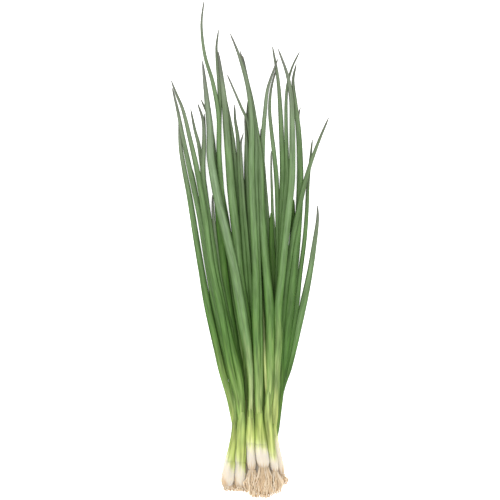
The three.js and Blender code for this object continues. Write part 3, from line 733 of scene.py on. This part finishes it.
# Painted shade on the sides and underside of the strands, greyer near the tips
FLANK_SHADE_TINT = (0.32, 0.5, 0.14)
TIP_FLANK_SHADE_TINT = (0.5, 0.54, 0.42)
PALE_AND_LIT_AT_TIP = 0.15  # how much of the pale tint, partly painted light, is left at the tips
FLANK_SHADE_DEPTH = 0.9  # how much of the painted shade there is at the sides and below

# The run of colours from which each root has one
ROOT_COLOURS = [
    (0.0, (182, 152, 116)), (0.3, (204, 178, 144)), (0.65, (215, 194, 165)), (1.0, (224, 209, 187)),
]
SOIL_COLOUR = (150, 112, 74)

# Strength of the stripes on the bulb and on the sheath, over that on a blade
BULB_STRIPES, SHEATH_STRIPES = 0.15, 1.8
STRIPES_BEGIN = 0.12  # the place in the colour run from which the stripes become stronger


def wandering_colour(shader, grain, stage):
    """The colour run along a plant, whose edges wander a little around each strand."""
    wander = shader.map_range(shader.noise(grain, scale=3.0), 0.3, 0.7, -0.04, 0.04)
    return shader.ramp(shader.math("ADD", stage, wander), PLANT_COLOURS)


def toned_with_painted_light_and_shade(shader, colour, green, stage):
    """Deeper or paler greens, as each strand's tone says: partly a strand's own colour, partly painted shade
    on low, half-hidden leaves and painted light on the top ones. The paler ones fade towards the tips.
    """
    tone = shader.attribute("tone", "Fac")
    deep_and_shaded = shader.math("MULTIPLY", green, shader.map_range(tone, 0.0, -1.0, 0.0, 1.0))
    fading = shader.map_range(stage, BLADE, NEAR_TIP, 1.0, PALE_AND_LIT_AT_TIP)
    pale_and_lit = shader.math("MULTIPLY", shader.math("MULTIPLY", green, fading),
                         shader.map_range(tone, 0.0, 1.0, 0.0, 1.0))
    colour = shader.mix(deep_and_shaded, colour, DEEP_AND_SHADED_TINT, "MULTIPLY")
    return shader.mix(pale_and_lit, colour, PALE_AND_LIT_TINT, "MULTIPLY")


def with_dark_flanks(shader, colour, green, stage):
    """Painted shade: deeper greens on the sides and below, where neighbouring strands shade each other, and
    greyer ones there near the tips.
    """
    flank = shader.map_range(shader.attribute("flank", "Fac"), 0.0, 1.0, 0.0, FLANK_SHADE_DEPTH)
    near_tip = shader.map_range(stage, BLADE, NEAR_TIP, 0.0, 1.0)
    tint = shader.mix(near_tip, FLANK_SHADE_TINT, TIP_FLANK_SHADE_TINT)
    return shader.mix(shader.math("MULTIPLY", green, flank), colour, tint, "MULTIPLY")


def growth_stripes(shader, grain, stage):
    """A factor around 1 that makes bands and fine stripes along the growth."""
    bands = shader.map_range(shader.noise(grain, scale=1.8, detail=2.0), 0.35, 0.65, 0.78, 1.22)
    fine = shader.map_range(shader.noise(grain, scale=6.0, detail=4.0, roughness=0.65), 0.3, 0.7, 0.9, 1.08)
    rising = shader.map_range(stage, STRIPES_BEGIN, NECK, BULB_STRIPES, SHEATH_STRIPES)
    falling = shader.map_range(stage, SHEATH_TOP, BLADE, 0.0, SHEATH_STRIPES - 1)
    strength = shader.math("SUBTRACT", rising, falling)
    striped = shader.math("MULTIPLY", shader.math("MULTIPLY", bands, fine), strength)
    return shader.math("ADD", striped, shader.math("SUBTRACT", 1.0, strength))


def plant_material(name, roughness, translucence, depth):
    """The skin of bulbs, sheaths and leaves. depth is how far light gets into it, in metres."""
    shader = Shader(name)
    grain = shader.attribute("grain", "Vector")
    stage = shader.attribute("stage", "Fac")
    green = shader.map_range(stage, WHITE_END, SHEATH_TOP, 0.0, 1.0)
    # tone: the strands' own colour, with painted shade and painted light in it
    colour = toned_with_painted_light_and_shade(shader, wandering_colour(shader, grain, stage), green, stage)
    # painted shade on the sides and underside of each strand
    colour = with_dark_flanks(shader, colour, green, stage)
    colour = shader.scaled(colour, growth_stripes(shader, grain, stage))
    shader.join(colour, shader.surface.inputs["Base Color"])
    wax = shader.noise(grain, scale=3.0, detail=4.0)
    shader.join(shader.map_range(wax, 0.3, 0.7, roughness - 0.08, roughness + 0.1),
                shader.surface.inputs["Roughness"])
    shader.surface.inputs["Subsurface Weight"].default_value = translucence
    shader.surface.inputs["Subsurface Radius"].default_value = (1.0, 0.9, 0.6)
    shader.surface.inputs["Subsurface Scale"].default_value = depth
    shader.surface.inputs["Specular IOR Level"].default_value = 0.08
    shader.bump(shader.noise(grain, scale=9.0, detail=2.0), strength=0.4, distance=0.0003)
    return shader.material


def root_material():
    """Roots from brown to cream, darker where they are close to the plate, with crumbs of soil."""
    shader = Shader("root_fibre")
    grain = shader.attribute("grain", "Vector")
    tone = shader.map_range(shader.attribute("tone", "Fac"), -1.0, 1.0, 0.0, 1.0)
    colour = shader.ramp(tone, ROOT_COLOURS)
    soil = shader.map_range(shader.noise(grain, scale=5.0, detail=4.0), 0.55, 0.8, 0.0, 0.4)
    colour = shader.mix(soil, colour, linear(*SOIL_COLOUR))
    run = shader.attribute("stage", "Fac")
    colour = shader.scaled(colour, shader.map_range(run, 0.05, 0.5, 0.78, 1.02))
    shader.join(colour, shader.surface.inputs["Base Color"])
    shader.surface.inputs["Roughness"].default_value = 0.75
    shader.surface.inputs["Subsurface Weight"].default_value = 0.4
    shader.surface.inputs["Subsurface Radius"].default_value = (1.0, 0.85, 0.65)
    shader.surface.inputs["Subsurface Scale"].default_value = 0.0012
    shader.bump(shader.noise(grain, scale=14.0, detail=2.0), strength=0.5, distance=0.0002)
    return shader.material


def floor_material():
    """White enough for the bunch to lie on plain white, with hardly any shadow."""
    shader = Shader("pale_floor")
    coordinates = shader.node("ShaderNodeTexCoord").outputs["Object"]
    shade = shader.map_range(shader.noise(coordinates, scale=60.0), 0.3, 0.7, 0.93, 0.96)
    shader.join(shade, shader.surface.inputs["Base Color"])
    shader.surface.inputs["Emission Color"].default_value = (1.0, 1.0, 1.0, 1)
    shader.surface.inputs["Emission Strength"].default_value = 0.6
    shader.surface.inputs["Roughness"].default_value = 0.9
    shader.surface.inputs["Specular IOR Level"].default_value = 0.0
    return shader.material


def add_camera():
    """Looks straight down, with 0.45 m across the picture at the height of the bunch."""
    view_width, distance, bunch_height, sensor = 0.45, 2.5, 0.01, 36.0
    middle_y = -0.0005
    data = bpy.data.cameras.new("camera")
    data.sensor_width = sensor
    data.lens = sensor * distance / view_width
    camera = bpy.data.objects.new("camera", data)
    camera.location = (0, middle_y, distance + bunch_height)
    bpy.context.scene.collection.objects.link(camera)
    bpy.context.scene.camera = camera


def add_floor():
    """The surface that the bunch lies on, 3 m wide."""
    half = 1.5
    mesh = bpy.data.meshes.new("floor")
    mesh.from_pydata([(-half, -half, 0), (half, -half, 0), (half, half, 0), (-half, half, 0)], [],
                     [(0, 1, 2, 3)])
    mesh.materials.append(floor_material())
    floor = bpy.data.objects.new("floor", mesh)
    bpy.context.scene.collection.objects.link(floor)


def add_area_light(name, location, size, power):
    """A soft square light that faces the middle of the bunch."""
    data = bpy.data.lights.new(name, "AREA")
    data.size = size
    data.energy = power
    light = bpy.data.objects.new(name, data)
    light.location = location
    light.rotation_euler = (-light.location).to_track_quat("-Z", "Y").to_euler()
    bpy.context.scene.collection.objects.link(light)


def add_lights():
    world = bpy.data.worlds.new("studio")
    world.use_nodes = True
    background = world.node_tree.nodes["Background"]
    background.inputs["Color"].default_value = (1.0, 1.0, 1.0, 1)
    background.inputs["Strength"].default_value = 1.0
    bpy.context.scene.world = world
    add_area_light("key", (-0.35, 0.3, 1.6), size=0.8, power=15)
    add_area_light("fill", (0.5, -0.3, 1.6), size=0.9, power=8)
    bpy.context.scene.view_settings.view_transform = "Standard"


def dress(piece, node):
    """Puts a skin in the place of its solid."""
    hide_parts(node)
    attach(piece, "root")


def build_bunch():
    leaf_skin = plant_material("leaf_skin", roughness=0.5, translucence=0.08, depth=0.003)
    bulb_skin = plant_material("bulb_skin", roughness=0.45, translucence=0.85, depth=0.008)
    root_fibre = root_material()
    for number, (plant, stalk, leaves) in enumerate(lay_bunch(), start=1):
        name = f"plant_{number:02d}"
        random = np.random.default_rng(number)
        plant["tone"] = random.uniform(-STALK_TONE, STALK_TONE)
        plant["offset"] = GRAIN_OFFSET * random.random()
        plant.setdefault("slant", random.uniform(-WHITE_END_SLANT, WHITE_END_SLANT))
        tuft = roots_surface(plant, stalk, random).build(name + "_root_tuft", root_fibre)
        dress(tuft, name + "_roots")
        bulb = bulb_surface(plant, stalk).build(name + "_bulb_skin", bulb_skin)
        dress(bulb, name + "_bulb")
        shoot = shoot_surface(plant, stalk, leaves, random).build(name + "_shoot", leaf_skin)
        dress(shoot, name + "_leaves")


add_camera()
add_floor()
add_lights()
build_bunch()
